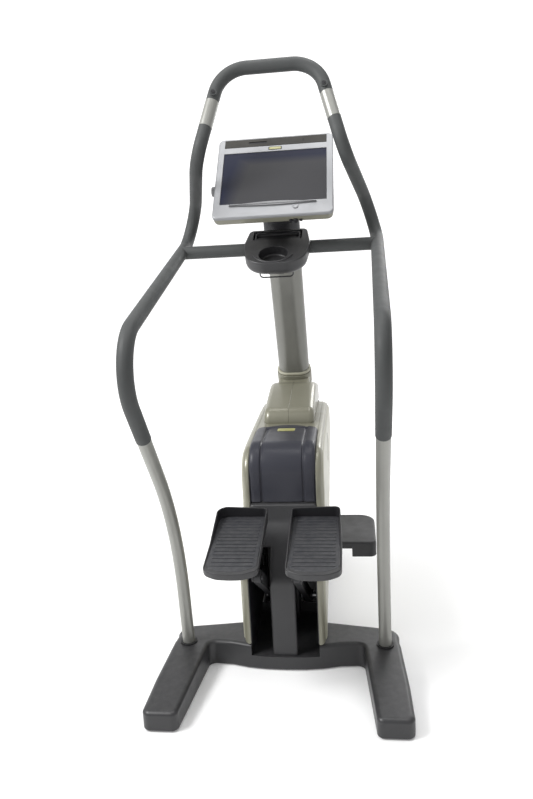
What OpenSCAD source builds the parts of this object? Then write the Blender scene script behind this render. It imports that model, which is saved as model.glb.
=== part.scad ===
// Stair climber (stepper) with two independent pedals, an overhead handrail and a screen console.
// X runs across the machine, the user stands at -Y and faces +Y, Z is up.
// The origin is on the floor, under the middle of the machine.

/* [Handrail] */
// Outer diameter of the steel handrail tube
rail_d = 42.4; // [38:0.2:46]
// Wall thickness of the handrail tube
rail_wall = 2.6; // [2:0.1:4]
// Thickness of the soft grip sleeve
grip_wall = 1.5; // [1:0.1:3]
// Height of the centre line of the top bar
arch_top_z = 2035; // [1990:5:2060]
// Half the distance between the two handrails at the base
rail_base_x = 342; // [330:1:348]

/* [Base] */
// Height of the base cover at the cross beam
base_h = 92; // [88:1:100]
// Height of the base cover at the tips of the legs
tip_h = 66; // [60:1:74]
// Wall thickness of the base cover
base_wall = 4; // [3:0.5:6]
// Thickness of the rubber feet
foot_h = 8; // [6:0.5:10]
// Diameter of a transport wheel
wheel_d = 56; // [48:1:58]

/* [Casing] */
// Half the width of the champagne shells
shell_x = 140; // [136:1:144]
// Thickness of a side panel
panel_t = 6; // [5:1:12]
// Wall thickness of the casing parts
case_wall = 4; // [3:0.5:5]
// Half the width of the strip cover between the arms
strip_x = 43; // [38:1:44]
// Front face of the casing
nose_y = 688.6; // [680:0.2:700]

/* [Pedals] */
// Length of a pedal's foot plate
pedal_l = 336; // [320:1:340]
// Width of a pedal's foot plate
pedal_w = 170; // [160:1:172]
// Upward slope of a pedal towards the toes, in degrees
pedal_tilt = 10; // [6:1:12]
// Diameter of the main pivot shaft
pivot_d = 25; // [22:1:28]
// Diameter of the pins at the ends of the arms and links
pin_d = 14; // [12:1:16]
// Radial running clearance of the pivots
run_gap = 0.05; // [0.02:0.01:0.09]

/* [Drive] */
// Diameter of the drive wheel
drive_d = 156; // [140:2:158]
// Diameter of the brake rotor's pulley
rotor_d = 50; // [40:2:60]
// Diameter of a clutch drum
drum_d = 60; // [52:2:64]

/* [Column and console] */
// Width of the oval column across the machine
column_w = 130; // [120:1:134]
// Depth of the oval column
column_depth = 90; // [84:1:94]
// Half the width of the console
console_x = 207; // [200:1:212]
// Thickness of the console housing
console_t = 58; // [52:1:62]
// Lean of the console, in degrees from the vertical
console_lean = 41.7; // [38:0.1:44]
// Radius of the cup holder
cup_r = 47; // [42:1:49]

/* [Hidden] */
$fn = 48;

// Colours
slate = [0.24, 0.24, 0.26];
grip_grey = [0.28, 0.29, 0.29];
silver = [0.60, 0.60, 0.57];
champagne = [0.56, 0.55, 0.47];
cream = [0.74, 0.73, 0.65];
steel = [0.45, 0.46, 0.48];
black = [0.06, 0.06, 0.07];

// Handrail: corner points of the centre line, right side, and the bend radius at each
grip_d = rail_d + 2 * grip_wall;
arch_y = 131;
rail_pts = [
  [rail_base_x, -220, 30],
  [338, -281, 553],
  [333, -763, 1189],
  [359, 434, 1507],
  [247, 4, 1730],
  [164, arch_y, arch_top_z],
  [0, arch_y, arch_top_z]
];
rail_radii = [0, 1000, 139, 96, 84, 111, 0];
// Height at which the tube ends, inside its socket in the base
rail_foot_z = 38;
// Shares of a straight stretch at which the grips and the sensor plates begin and end
grip_start = 0.5755;
sensor_start = 0.36;
sensor_end = 0.64;
toggle_at = 0.70;
bar_y = 142;
bar_z = 1429;
bar_half = 350;
// Bore of the top grip's sleeve, which slides on loosely
sleeve_bore = rail_d + 0.4;

// Extra bore of the sleeve under the toggle's boss
sleeve_relief = 0.6;

// Base
spine_x = 125;
beam_top = 46;
pocket_z = 52;
pocket_x = 118;
tip_y = -590;
slope_y = -262;
leg_start = [330, -165];
leg_end = [354, -560];
wheel_at = [648, 32];

// Casing, all in Y and Z
apron_y = -242;
apron_top = 330;
slope_end = [-98, 522];
dash_y = -90;
dash_bottom = 532;
dash_r = 98;
dash_x = 117;
case_top = 766;
hump_x = 100;
tower_x = 68;
deck_z = 757;
deck_end = 600;
slot_top = 430;

// Pedal linkage, all in Y and Z
pivot = [60, 125];
arm_end = [-360, 405];
link_offset = [20, 64];
arm_x = [52, 74];
plate_x = [76, 81];
link_x = [83, 91];
mast_x = [96, 100];
pedal_in = 40;
pedal_mid = [-360, 516];
drive_at = [-20, 480];
brake_at = [300, 360];
strap_x = 64;
spring_x = 28;
spring_drum_d = 48;
// The spring's sleeve stands under the drum's far side
spring_y = drive_at.x + spring_drum_d / 2 + 1.3;

// The lug of an arm that pulls its strap, and the foot of the strap above it
lug_at = [-51.3, 212];
lug_d = 26;
strap_z = 225.8;

// Column: a point on its axis at the casing, and its lean towards the user
column_foot = [610, 902];
column_lean = 24.6;
column_len = 545;
// The collar's skirt: its lower end along the column and its extra width round it
skirt_low = -50;
skirt = 18;

// Console: centre of its front face, and its half length along the lean
console_at = [127, 1682];
console_half = 194;
screen_x = 184;
button_at = [79, -158];
button_d = 18;
// The knob on the left edge: its place up the console and out of its face
knob_at = [-43, -23];
knob_shaft_d = 6;

console_up = [sin(console_lean), cos(console_lean)];
console_out = [-cos(console_lean), sin(console_lean)];

// Tray: a point on its top face, and its slope
tray_at = [113.5, 1445];
tray_tilt = 30;
tray_t = 50;

// Side step: height of its top and the thickness of its skin
step_top = 450;
step_skin = 6;

// ---------- helpers ----------

function unit(v) = v / norm(v);

function corner_angle(p, i) = acos(unit(p[i - 1] - p[i]) * unit(p[i + 1] - p[i]));

function setback(p, r, i) = r[i] == 0 ? 0 : r[i] / tan(corner_angle(p, i) / 2);

function share(a, b, t) = a + (b - a) * t;

function console_point(up, out) = console_at + up * console_up + out * console_out;

function arc(c, r, a0, a1, n = 12) = [
  for (i = [0:n]) c + r * [cos(share(a0, a1, i / n)), sin(share(a0, a1, i / n))]
];

// Places a shape that stands on the XY plane along the line from a to b
module along(a, b) {
  d = b - a;
  translate(a)
    rotate([0, acos(d.z / norm(d)), atan2(d.y, d.x)])
      children();
}

// The ring section of a tube
module ring(outer, inner) {
  difference() {
    circle(d = outer);
    circle(d = inner);
  }
}

// A round bend of radius r[i] at the corner p[i] of a path
module bend(p, r, i, outer, inner) {
  u = unit(p[i - 1] - p[i]);
  v = unit(p[i + 1] - p[i]);
  angle = corner_angle(p, i);
  centre = p[i] + unit(u + v) * r[i] / sin(angle / 2);
  from = p[i] + u * setback(p, r, i);
  to = p[i] + v * setback(p, r, i);
  ax = unit(from - centre);
  az = unit(cross(from - centre, to - centre));
  ay = cross(az, ax);
  multmatrix([
    [ax.x, ay.x, az.x, centre.x],
    [ax.y, ay.y, az.y, centre.y],
    [ax.z, ay.z, az.z, centre.z],
    [0, 0, 0, 1]
  ])
    rotate_extrude(angle = 180 - angle)
      translate([r[i], 0])
        ring(outer, inner);
}

// A tube along a path of straight stretches and round bends. Each straight stretch reaches
// lap into its bends, and the wall of a bend is step thinner on both sides, as at a welded lap.
module bent_tube(p, r, outer, inner) {
  last = len(p) - 1;
  lap = 1;
  step = 0.1;
  for (i = [0:last - 1]) {
    dir = unit(p[i + 1] - p[i]);
    from = p[i] + dir * (r[i] > 0 ? setback(p, r, i) - lap : 0);
    to = p[i + 1] - dir * (r[i + 1] > 0 ? setback(p, r, i + 1) - lap : 0);
    along(from, to)
      linear_extrude(norm(to - from))
        ring(outer, inner);
  }
  for (i = [1:last - 1])
    bend(p, r, i, outer - 2 * step, inner + 2 * step);
}

// Extrudes an outline drawn in Y and Z from x0 to x1
module across(x0, x1) {
  translate([x0, 0, 0])
    rotate([90, 0, 90])
      linear_extrude(x1 - x0)
        children();
}

// A round bar along X at the point p in Y and Z
module pin(p, x0, x1, d) {
  across(x0, x1)
    translate(p)
      circle(d = d);
}

// A flat bar with round ends, drawn in a plane
module bar(a, b, w) {
  translate(a) circle(d = w);
  translate(b) circle(d = w);
  translate(a)
    rotate(atan2(b.y - a.y, b.x - a.x))
      translate([0, -w / 2])
        square([norm(b - a), w]);
}

module rounded_square(size, r) {
  translate([r, 0]) square([size.x - 2 * r, size.y]);
  translate([0, r]) square([size.x, size.y - 2 * r]);
  for (x = [r, size.x - r], y = [r, size.y - r])
    translate([x, y]) circle(r = r);
}

module stadium(w, h) {
  square([w - h, h], center = true);
  for (s = [-1, 1])
    translate([s * (w - h) / 2, 0]) circle(d = h);
}

module on_side(s) {
  mirror([s < 0 ? 1 : 0, 0, 0])
    children();
}

module both_sides() {
  for (s = [-1, 1])
    on_side(s) children();
}

// ---------- base ----------

module base_plan_half() {
  polygon(concat(
    [[0, -254], [70, -252], [130, -244], [190, -228]],
    arc([246, -250], 26, 90, 0, 6),
    [[300, tip_y + 22]],
    arc([322, tip_y + 22], 22, 180, 270, 6),
    arc([387, tip_y + 26], 26, 270, 355, 6),
    [[408, -430], [394, -230]],
    arc([334, -172], 58, -20, 80, 8),
    [[spine_x, -76], [spine_x, nose_y - 30]],
    arc([spine_x - 30, nose_y - 30], 28, 0, 90, 6),
    [[0, nose_y - 2]]
  ));
}

// The base's outer form, lowered by drop and drawn in by inset
module base_form(inset, drop, bottom) {
  slope = atan((base_h - tip_h) / (slope_y - tip_y));
  difference() {
    translate([0, 0, bottom])
      linear_extrude(base_h - drop - bottom)
        offset(delta = -inset) {
          base_plan_half();
          mirror([1, 0, 0]) base_plan_half();
        }
    translate([-450, slope_y, base_h - drop])
      rotate([slope, 0, 0])
        translate([0, -400, 0])
          cube([900, 400, 100]);
  }
}

// A point on the lowest stretch of the handrail, at a height
function rail_at(z) =
  share(rail_pts[0], rail_pts[1], (z - rail_pts[0].z) / (rail_pts[1].z - rail_pts[0].z));

module rail_line(d, z0, z1) {
  along(rail_at(z0), rail_at(z1))
    rotate(90)
      cylinder(h = norm(rail_at(z1) - rail_at(z0)), d = d);
}

module base_cover() {
  color(slate)
    difference() {
      base_form(0, 0, 4);
      difference() {
        base_form(base_wall, base_wall, 0);
        translate([-pocket_x - base_wall, -310, pocket_z - base_wall])
          cube([2 * (pocket_x + base_wall), 374, 100]);
      }
      translate([-pocket_x, -300, pocket_z])
        cube([2 * pocket_x, 360, 100]);
      translate([-pocket_x, 64, pocket_z - base_wall - 1])
        cube([2 * pocket_x, nose_y - 84, 100]);
      both_sides() {
        translate([rail_at(base_h).x, rail_at(base_h).y, 70]) cylinder(h = 40, d = rail_d + 10);
        pin(wheel_at, 90, 140, 30);
        translate([spring_x, spring_y, beam_top]) cylinder(h = 20, d = 9);
      }
    }
}

// A pressed steel channel of the base, open below. With a wall above 0 it is the channel's hollow.
module channel(size, at, turn, wall) {
  below = wall > 0 ? 1 : 0;
  translate([at.x, at.y, foot_h])
    rotate(turn)
      translate([wall, wall - size.y / 2, -below])
        cube([size.x - 2 * wall, size.y - 2 * wall, size.z - wall + below]);
}

module channels(wall) {
  leg = leg_end - leg_start;
  depth = beam_top - foot_h;
  channel([334, 60, depth], [-wall, -160], 0, wall);
  channel([790, 40, depth], [80, -131], 90, wall);
  channel([norm(leg) + 30, 60, depth], leg_start - 30 * unit(leg), atan2(leg.y, leg.x), wall);
}

module base_frame() {
  color(steel)
    both_sides() {
      difference() {
        channels(0);
        channels(3);
        translate([rail_at(beam_top).x, rail_at(beam_top).y, beam_top - 10]) cylinder(h = 20, d = rail_d + 3);
      }
      difference() {
        rail_line(rail_d + 8.2, foot_h + 3, base_h - 10);
        rail_line(rail_d + 0.2, 29.5, 200);
      }
      pin(wheel_at, 95, 156.5, 12);
      pin(wheel_at, 156.5, 160, 20);
    }
}

module foot_pads() {
  color(black)
    both_sides()
      for (p = [[352, -535], [80, 600]])
        translate([p.x, p.y, 0])
          cylinder(h = foot_h, d = 58);
}

module wheel(s) {
  color(black)
    on_side(s)
      difference() {
        union() {
          pin(wheel_at, 131, 153, wheel_d);
          pin(wheel_at, 129, 155.5, 26);
        }
        pin(wheel_at, 120, 160, 12 + 2 * run_gap);
      }
}

// ---------- frame inside the casing ----------

module mast_outline() {
  polygon([
    [20, 100], [64, 100], [64, beam_top], [650, beam_top], [668, 300], [672, 738],
    [470, 738], [400, 620], [120, 560], [-64, 545], [-64, 400], [20, 300]
  ]);
}

module mast() {
  color(steel)
    difference() {
      union() {
        both_sides() {
          across(mast_x[0], mast_x[1]) mast_outline();
          pin(pivot + link_offset, link_x[0] - 1, mast_x[0], pin_d);
          pin(pivot + link_offset, link_x[1] + 1, mast_x[0], 24);
          across(50, 58)
            polygon([[480, 734], [672, 734], [672, 872], [574, 827], [520, 800]]);
          translate([60, 170, beam_top]) cube([mast_x[0] - 60, 60, 5]);
        }
        for (p = [[560, 140], [180, 535], [610, 620]])
          pin(p, -mast_x[0], mast_x[0], 26);
        across(-mast_x[1], mast_x[1])
          polygon([[470, 738], [672, 738], [672, 732], [474, 732]]);
        column_place()
          translate([0, 0, skirt_low - 10])
            linear_extrude(10) translate([-62, -52]) rounded_square([124, 94], 12);
      }
      for (p = [
        [180, 200, 120], [400, 190, 130], [470, 400, 130], [600, 560, 90], [250, 455, 90], [120, 400, 110]
      ])
        pin([p.x, p.y], -120, 120, p.z);
      pin(pivot, -120, 120, pivot_d);
      pin(drive_at, -120, 120, 20 + 2 * run_gap);
    }
}

module pivot_shaft() {
  color(steel)
    pin(pivot, -mast_x[1] - 2, mast_x[1] + 2, pivot_d);
}

// ---------- pedals and their linkage ----------

module arm(s) {
  color(slate)
    on_side(s)
      difference() {
        union() {
          across(arm_x[0], arm_x[1]) {
            bar(pivot, arm_end, 40);
            translate(pivot) circle(d = 56);
          }
          pin(pivot, arm_x[0] - 6, arm_x[1] + 6, 44);
          pin(lug_at, strap_x - 4, strap_x + 4, lug_d);
        }
        pin(pivot, 0, 120, pivot_d + 2 * run_gap);
        pin(arm_end, 0, 120, pin_d + 2 * run_gap);
      }
}

module link(s) {
  color(slate)
    on_side(s)
      difference() {
        across(link_x[0], link_x[1])
          bar(pivot + link_offset, arm_end + link_offset, 26);
        pin(pivot + link_offset, 0, 120, pin_d + 2 * run_gap);
        pin(arm_end + link_offset, 0, 120, pin_d + 2 * run_gap);
      }
}

// Frame of a pedal: X across, Y towards the toes, Z up from the foot plate
module pedal_place() {
  translate([0, pedal_mid.x, pedal_mid.y])
    rotate([pedal_tilt, 0, 0])
      children();
}

module pedal_bracket(s) {
  color(steel)
    on_side(s) {
      across(plate_x[0], plate_x[1]) {
        bar(arm_end, arm_end + link_offset, 34);
        polygon([[-377, 405], [-440, 488], [-270, 517], [-330, 440]]);
      }
      pin(arm_end, arm_x[0] - 4, plate_x[0], pin_d);
      pin(arm_end, arm_x[0] - 7, arm_x[0] - 1, 24);
      pin(arm_end + link_offset, plate_x[1], link_x[1] + 1, pin_d);
      pin(arm_end + link_offset, link_x[1] + 1, link_x[1] + 4, 22);
      pedal_place()
        translate([pedal_in + 10, -85, -18])
          cube([pedal_w - 20, 170, 6]);
    }
}

// The foot plate's outline: a straight toe end and a bowed heel
module pedal_plan(inset) {
  w = pedal_w / 2 - inset;
  l = pedal_l / 2 - inset;
  toe_r = 16;
  heel_r = 24;
  heel_sag = 16;
  heel_bow = 160;
  translate([pedal_in + pedal_w / 2, 0])
    hull() {
      for (s = [-1, 1]) {
        translate([s * (w - toe_r), l - toe_r]) circle(r = toe_r);
        translate([s * (w - heel_r), heel_r + heel_sag - l]) circle(r = heel_r);
      }
      polygon(arc([0, heel_bow - l], heel_bow, 248, 292, 8));
    }
}

module pedal(s) {
  wall = 5;
  floor_t = 12;
  toe_wall = 38;
  rib_step = 19;
  color(slate)
    on_side(s)
      pedal_place() {
        difference() {
          translate([0, 0, -floor_t]) linear_extrude(floor_t + toe_wall) pedal_plan(0);
          linear_extrude(toe_wall + 1) pedal_plan(wall);
          // The walls fall in a long S from the toes to the heel
          across(0, pedal_in + pedal_w + 10)
            polygon([
              [-200, 3], [-50, 4], [-10, 8], [25, 17], [55, 28], [90, 36], [110, toe_wall + 0.5],
              [110, 80], [-200, 80]
            ]);
        }
        for (i = [0:13])
          translate([pedal_in + 18, -118 + i * rib_step, -1])
            cube([pedal_w - 36, 7, 2.5]);
      }
}

// ---------- drive ----------

module drum(s) {
  color(steel)
    on_side(s)
      difference() {
        union() {
          pin(drive_at, strap_x - 9, strap_x + 9, drum_d + 8);
          pin(drive_at, 18, strap_x + 24, 36);
          pin(drive_at, spring_x - 8, spring_x + 8, spring_drum_d);
        }
        difference() {
          pin(drive_at, strap_x - 7, strap_x + 7, drum_d + 10);
          pin(drive_at, strap_x - 8, strap_x + 8, drum_d);
        }
        pin(drive_at, 0, 120, 20 + 2 * run_gap);
      }
}

module drive_wheel() {
  color(steel)
    difference() {
      union() {
        pin(drive_at, -108, 108, 20);
        pin(drive_at, -9, 9, drive_d);
        pin(drive_at, -16, 16, 40);
      }
      for (a = [0:60:300])
        pin(drive_at + (drive_d / 2 - 29) * [cos(a), sin(a)], -10, 10, 30);
      difference() {
        pin(drive_at, -8, 8, drive_d + 2);
        pin(drive_at, -9, 9, drive_d - 4);
      }
    }
}

module alternator() {
  color(steel) {
    difference() {
      union() {
        pin(brake_at, 30, 90, 150);
        pin(brake_at, 24, 30, 110);
      }
      pin(brake_at, 20, 92, 16 + 2 * run_gap);
    }
    difference() {
      across(80, 96)
        polygon([[235, 40 + beam_top], [365, 40 + beam_top], [365, 330], [235, 330]]);
      pin(brake_at, 70, 100, 120);
      pin([290, 200], 70, 100, 90);
    }
    translate([66, 235, beam_top]) cube([30, 130, 40]);
  }
}

module rotor() {
  color(steel) {
    pin(brake_at, -12, 88, 16);
    difference() {
      pin(brake_at, -10, 10, rotor_d + 4);
      difference() {
        pin(brake_at, -8, 8, rotor_d + 6);
        pin(brake_at, -9, 9, rotor_d);
      }
    }
    pin(brake_at, 10, 22, 30);
  }
}

// The belt's outline round both pulleys, t outside their grooves
module belt_outline(t) {
  gap = brake_at - drive_at;
  r1 = drive_d / 2 - 2 + t;
  r2 = rotor_d / 2 + t;
  lean = acos((r1 - r2) / norm(gap));
  aim = atan2(gap.y, gap.x);
  polygon(concat(
    arc(drive_at, r1, aim + lean, aim + 360 - lean, 32),
    arc(brake_at, r2, aim - lean, aim + lean, 16)
  ));
}

module drive_belt() {
  color(black)
    across(-6, 6)
      difference() {
        belt_outline(3.4);
        belt_outline(0.5);
      }
}

// The strap that the arm pulls: up from the lug of the arm and half way round the drum
module strap(s) {
  gap = 0.3;
  thick = 2;
  outer_r = drum_d / 2 + gap + thick;
  color(black)
    on_side(s)
      across(strap_x - 5, strap_x + 5) {
        translate([drive_at.x - outer_r, strap_z]) square([thick, drive_at.y - strap_z]);
        difference() {
          translate(drive_at) circle(r = outer_r);
          translate(drive_at) circle(r = outer_r - thick);
          translate([drive_at.x - 60, drive_at.y - 60]) square([120, 60]);
        }
      }
}

// The spring in its sleeve that winds the drum back, with the cord that leads to the drum
module return_unit(s) {
  cord_y = spring_y - 1;
  sleeve_z = 92;
  sleeve_h = 310;
  color(black)
    on_side(s) {
      across(spring_x - 4, spring_x + 4)
        translate([cord_y, sleeve_z + sleeve_h - 2]) square([2, drive_at.y - sleeve_z - sleeve_h + 2]);
      translate([spring_x, spring_y, sleeve_z]) {
        difference() {
          cylinder(h = sleeve_h, d = 24);
          translate([0, 0, 6]) cylinder(h = sleeve_h - 12, d = 17);
        }
        translate([0, 0, beam_top - sleeve_z]) cylinder(h = sleeve_z - beam_top, d = 8);
      }
    }
}

// ---------- casing ----------

module case_outline() {
  polygon(concat(
    [[apron_y, base_h + 2], [apron_y, apron_top], slope_end],
    [[dash_y - 5, slope_end.y + 16]],
    arc([dash_y + 100, 661], 105, 180, 90, 14),
    arc([nose_y - 120, case_top - 120], 120, 90, 0, 14),
    [[nose_y, base_h + 2]]
  ));
}

module shell(s) {
  color(champagne)
    on_side(s)
      difference() {
        across(pocket_x, shell_x) case_outline();
        across(pocket_x - 1, shell_x - case_wall) offset(delta = -case_wall) case_outline();
        if (s > 0)
          translate([shell_x - 10, -45, 402]) cube([20, 70, 34]);
      }
}

module side_panel(s) {
  color(cream)
    on_side(s)
      difference() {
        across(shell_x, shell_x + panel_t) offset(delta = -9) case_outline();
        across(shell_x - 1, shell_x + panel_t - 3) offset(delta = -12) case_outline();
        if (s > 0)
          translate([shell_x - 1, -45, 402]) cube([20, 70, 34]);
      }
}

// The dash's section: a strip of thickness t whose face is drawn in by inset
module dash_section(inset, t) {
  centre = [dash_y + dash_r, 655];
  outer = dash_r - inset;
  inner = outer - t;
  polygon(concat(
    [[dash_y + inset, dash_bottom]],
    arc(centre, outer, 180, 90, 16),
    [[165, 757 - inset], [165, 757 - inset - t]],
    arc(centre, inner, 90, 180, 16),
    [[dash_y + inset + t, dash_bottom]]
  ));
}

module dash_panel() {
  color(slate)
    across(-dash_x, dash_x) dash_section(0, case_wall);
}

module strip_cover() {
  t = case_wall;
  color(slate) {
    across(-strip_x, strip_x)
      polygon([
        [apron_y, pocket_z], [apron_y, apron_top], [-167, slot_top],
        [-167 + 1.6 * t, slot_top], [apron_y + t, apron_top - 2], [apron_y + t, pocket_z]
      ]);
    across(-dash_x, dash_x)
      polygon([
        [-167, slot_top], slope_end, [dash_y + 1, dash_bottom - 1],
        [dash_y + t + 1, dash_bottom - 1], [slope_end.x + 1.6 * t, slope_end.y], [-167 + 1.6 * t, slot_top]
      ]);
  }
}

// The hump's section: up from the deck behind the dash, over a round brow, up to its crest and
// down to the far end. All of it is drawn in by inset
module hump_section(inset) {
  brow = [294, 772];
  brow_r = 44 - inset;
  low = deck_z - 4 - inset;
  polygon(concat(
    [[brow.x - brow_r, low]],
    arc(brow, brow_r, 180, 104, 6),
    [
      [505, 864 - inset], [530, 866 - inset], [560, 862 - inset], [620, 850 - inset],
      [nose_y - 12 - inset, 838 - inset], [nose_y - inset, 828 - inset], [nose_y - inset, low]
    ]
  ));
}

// The narrower block behind the collar that backs the column's foot
module tower_section(inset) {
  polygon([
    [545 + inset, deck_z - 4 - inset], [545 + inset, 856 - inset], [565, 872 - inset],
    [600, 887 - inset], [660, 914 - inset], [nose_y - 6 - inset, 910 - inset],
    [nose_y - inset, 896 - inset], [nose_y - inset, deck_z - 4 - inset]
  ]);
}

module hump(s) {
  color(champagne)
    on_side(s)
      difference() {
        union() {
          across(0.2, hump_x) hump_section(0);
          across(0.2, tower_x) tower_section(0);
          across(0.2, pocket_x) translate([166, deck_z - 4]) square([deck_end - 166, 4]);
        }
        across(-1, hump_x - case_wall) hump_section(case_wall);
        across(-1, tower_x - case_wall) tower_section(case_wall);
        column_place()
          translate([0, 0, skirt_low])
            linear_extrude(200) stadium(column_w + skirt, column_depth + skirt);
      }
}

module nose_panel() {
  color(slate)
    difference() {
      union() {
        translate([-pocket_x, nose_y - 12, base_h + 2]) cube([2 * pocket_x, case_wall, 590]);
        translate([1 - hump_x, nose_y - 12, base_h + 2]) cube([2 * hump_x - 2, case_wall, deck_z - 6 - base_h]);
      }
      for (z = [150:24:294])
        translate([-60, nose_y - 20, z]) cube([120, 20, 10]);
    }
}

// ---------- column and head ----------

// Frame of the column: Z along its axis, the user's side at -Y
module column_place() {
  translate([0, column_foot.x, column_foot.y])
    rotate([column_lean, 0, 0])
      children();
}

module column() {
  color(silver)
    column_place()
      difference() {
        translate([0, 0, skirt_low]) linear_extrude(column_len - skirt_low) stadium(column_w, column_depth);
        translate([0, 0, skirt_low + 8])
          linear_extrude(column_len - skirt_low) stadium(column_w - 8, column_depth - 8);
      }
}

module column_collar() {
  color(cream)
    column_place()
      difference() {
        union() {
          translate([0, 0, skirt_low])
            linear_extrude(12 - skirt_low) stadium(column_w + skirt, column_depth + skirt);
          translate([0, 0, 12]) linear_extrude(10) stadium(column_w + 10, column_depth + 10);
        }
        translate([0, 0, skirt_low - 1]) linear_extrude(80) stadium(column_w, column_depth);
      }
}

module neck() {
  wall = 4;
  neck_h = 212;
  end_a = console_point(-58, -console_t);
  end_b = console_point(38, -console_t);
  color(slate)
    difference() {
      union() {
        column_place()
          translate([0, 0, column_len - 30])
            linear_extrude(neck_h + 30) stadium(column_w + 2 * wall, column_depth + 2 * wall);
        // The arm that carries the console
        across(-45, 45)
          polygon([end_a, end_b, [285, 1612], [330, 1585], [275, 1520], [250, 1530]]);
      }
      column_place() {
        translate([0, 0, column_len - 31]) linear_extrude(32) stadium(column_w, column_depth);
        translate([0, 0, column_len]) linear_extrude(neck_h - wall) stadium(column_w - 2, column_depth - 2);
        translate([-30.5, -60, column_len + 10]) cube([61, 60, 98]);
      }
    }
}

module head_bracket() {
  color(steel) {
    difference() {
      across(-30, 30)
        polygon([[165, 1400], [350, 1395], [385, 1420], [345, 1475], [230, 1450], [165, 1450]]);
      across(-24, 24)
        polygon([[160, 1406], [348, 1401], [376, 1421], [342, 1467], [230, 1444], [160, 1444]]);
      pin([bar_y, bar_z], -60, 60, rail_d + 0.2);
    }
    difference() {
      pin([bar_y, bar_z], -30, 30, rail_d + 10);
      pin([bar_y, bar_z], -60, 60, rail_d + 0.2);
    }
  }
}

// ---------- handrail ----------

module rail(s) {
  path = concat([rail_at(rail_foot_z)], [for (i = [1:len(rail_pts) - 1]) rail_pts[i]]);
  color(silver)
    on_side(s)
      bent_tube(path, rail_radii, rail_d, rail_d - 2 * rail_wall);
}

module rail_rings() {
  at = rail_at(base_h + 2);
  color(black)
    both_sides()
      translate([at.x, at.y, base_h])
        linear_extrude(4)
          ring(rail_d + 16, rail_d + 1.4);
}

module grip(s) {
  pts = [
    share(rail_pts[1], rail_pts[2], grip_start), rail_pts[2], rail_pts[3], rail_pts[4],
    share(rail_pts[4], rail_pts[5], sensor_start)
  ];
  radii = [0, rail_radii[2], rail_radii[3], rail_radii[4], 0];
  color(grip_grey)
    on_side(s)
      difference() {
        bent_tube(pts, radii, grip_d, rail_d);
        pin([bar_y, bar_z], 250, bar_half + 1, rail_d);
      }
}

// Frame on the straight stretch of the arch, at a share of its length:
// Z points away from the tube towards the user, Y up along the tube
module on_arch(t) {
  p = share(rail_pts[4], rail_pts[5], t);
  ay = unit(rail_pts[5] - rail_pts[4]);
  back = [0, -1, 0];
  az = unit(back - (back * ay) * ay);
  ax = cross(ay, az);
  multmatrix([
    [ax.x, ay.x, az.x, p.x],
    [ax.y, ay.y, az.y, p.y],
    [ax.z, ay.z, az.z, p.z],
    [0, 0, 0, 1]
  ])
    children();
}

module grip_top() {
  pts = [share(rail_pts[4], rail_pts[5], sensor_end), rail_pts[5], rail_pts[6]];
  radii = [0, rail_radii[5], 0];
  color(grip_grey)
    both_sides()
      difference() {
        union() {
          bent_tube(pts, radii, grip_d, sleeve_bore);
          on_arch(toggle_at)
            translate([0, 0, rail_d / 2 - 5]) cylinder(h = 13, d = 24);
        }
        on_arch(toggle_at) {
          translate([0, 0, rail_d / 2 + 2]) cylinder(h = 20, d = 14.6);
          translate([0, -20, 0]) rotate([-90, 0, 0]) cylinder(h = 40, d = sleeve_bore + sleeve_relief);
        }
      }
}

module toggle(s) {
  color(black)
    on_side(s)
      on_arch(toggle_at)
        translate([0, 0, rail_d / 2 + 4.5]) {
          cylinder(h = 5.5, d = 14);
          translate([0, 0, 5.5]) cylinder(h = 1, d = 4);
        }
}

module sensor_plates() {
  a = share(rail_pts[4], rail_pts[5], sensor_start);
  b = share(rail_pts[4], rail_pts[5], sensor_end);
  color(silver)
    both_sides()
      difference() {
        along(a, b) cylinder(h = norm(b - a), d = grip_d + 1);
        along(a, b) translate([0, 0, -1]) cylinder(h = norm(b - a) + 2, d = rail_d);
      }
}

module crossbar() {
  color(silver)
    difference() {
      pin([bar_y, bar_z], -bar_half, bar_half, rail_d);
      pin([bar_y, bar_z], -bar_half - 1, bar_half + 1, rail_d - 2 * rail_wall);
      both_sides()
        along(rail_pts[2], rail_pts[3]) cylinder(h = norm(rail_pts[3] - rail_pts[2]), d = rail_d);
    }
}

module crossbar_sleeves() {
  color(grip_grey)
    both_sides()
      difference() {
        pin([bar_y, bar_z], 112, bar_half, grip_d);
        pin([bar_y, bar_z], 110, bar_half + 10, rail_d);
        along(rail_pts[2], rail_pts[3]) cylinder(h = norm(rail_pts[3] - rail_pts[2]), d = grip_d);
      }
}

// ---------- tray ----------

// Frame of the tray: Y up its slope, Z out of its top face
module tray_place() {
  translate([0, tray_at.x, tray_at.y])
    rotate([tray_tilt, 0, 0])
      children();
}

module tray_plan() {
  hull() {
    translate([-100, 40]) rounded_square([200, 62], 20);
    translate([0, -24]) circle(r = 110, $fn = 64);
  }
}

module tray() {
  color(slate)
    difference() {
      union() {
        tray_place() translate([0, 0, -tray_t]) linear_extrude(tray_t) tray_plan();
        pin([bar_y, bar_z], -110, 110, grip_d + 12);
      }
      pin([bar_y, bar_z], -120, 120, rail_d + 0.4);
      tray_place() {
        translate([-8, -72, -34]) cylinder(h = 60, r = cup_r);
        translate([-84, 58, -14]) cube([166, 30, 40]);
        translate([-36, 8, -tray_t - 20]) cube([72, 120, 30 + tray_t - 14]);
      }
      pin([bar_y, bar_z], -30.5, 30.5, rail_d + 12);
    }
}

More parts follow.
